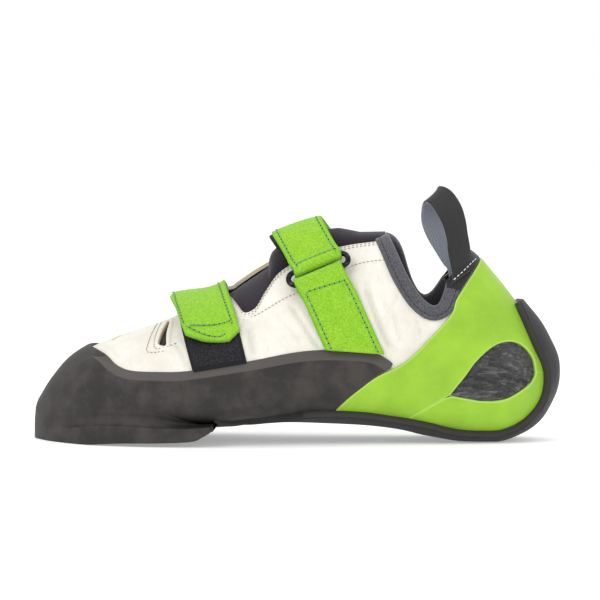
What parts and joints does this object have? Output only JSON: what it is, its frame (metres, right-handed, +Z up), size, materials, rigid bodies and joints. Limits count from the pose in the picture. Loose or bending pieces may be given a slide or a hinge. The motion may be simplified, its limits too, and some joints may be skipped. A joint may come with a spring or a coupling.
{
  "type": "climbing shoe",
  "caption": "Left climbing shoe with a white leather upper, black rubber rand and soles, green heel rubber, two green hook-and-loop straps and a heel pull loop.",
  "frame": {"origin": "on the floor under the middle of the shoe's box, where it stands on its sole", "axes": "+X from toe to heel, -Y the outer (lateral) side, +Z up"},
  "size_m": [0.2636, 0.095, 0.1271],
  "materials": {
    "upper_leather": "matte",
    "lining": "matte",
    "rand_rubber": "satin",
    "sole_rubber": "satin",
    "heel_rubber": "satin",
    "strap_tape": "matte",
    "window_leather": "gloss",
    "felt": "matte",
    "webbing": "matte",
    "loop_pile": "matte",
    "ring_metal": "gloss",
    "insole_cloth": "matte"
  },
  "bodies": {
    "root": {"upper": "upper_leather", "insole": "insole_cloth", "tongue": "lining", "collar_binding_lateral": "felt", "collar_binding_medial": "felt", "toe_rand": "rand_rubber", "heel_sling": "heel_rubber", "heel_cup": "heel_rubber", "window_panel_lateral": "window_leather", "window_panel_medial": "window_leather", "heel_pad_lateral": "webbing", "heel_pad_medial": "webbing", "outsole_front": "sole_rubber", "heel_sole": "sole_rubber", "strap_patch": "loop_pile", "front_strap": "strap_tape", "rear_strap": "strap_tape", "strap_anchor": "strap_tape", "strap_ring": "ring_metal", "pull_loop": "webbing"}
  },
  "joints": []
}
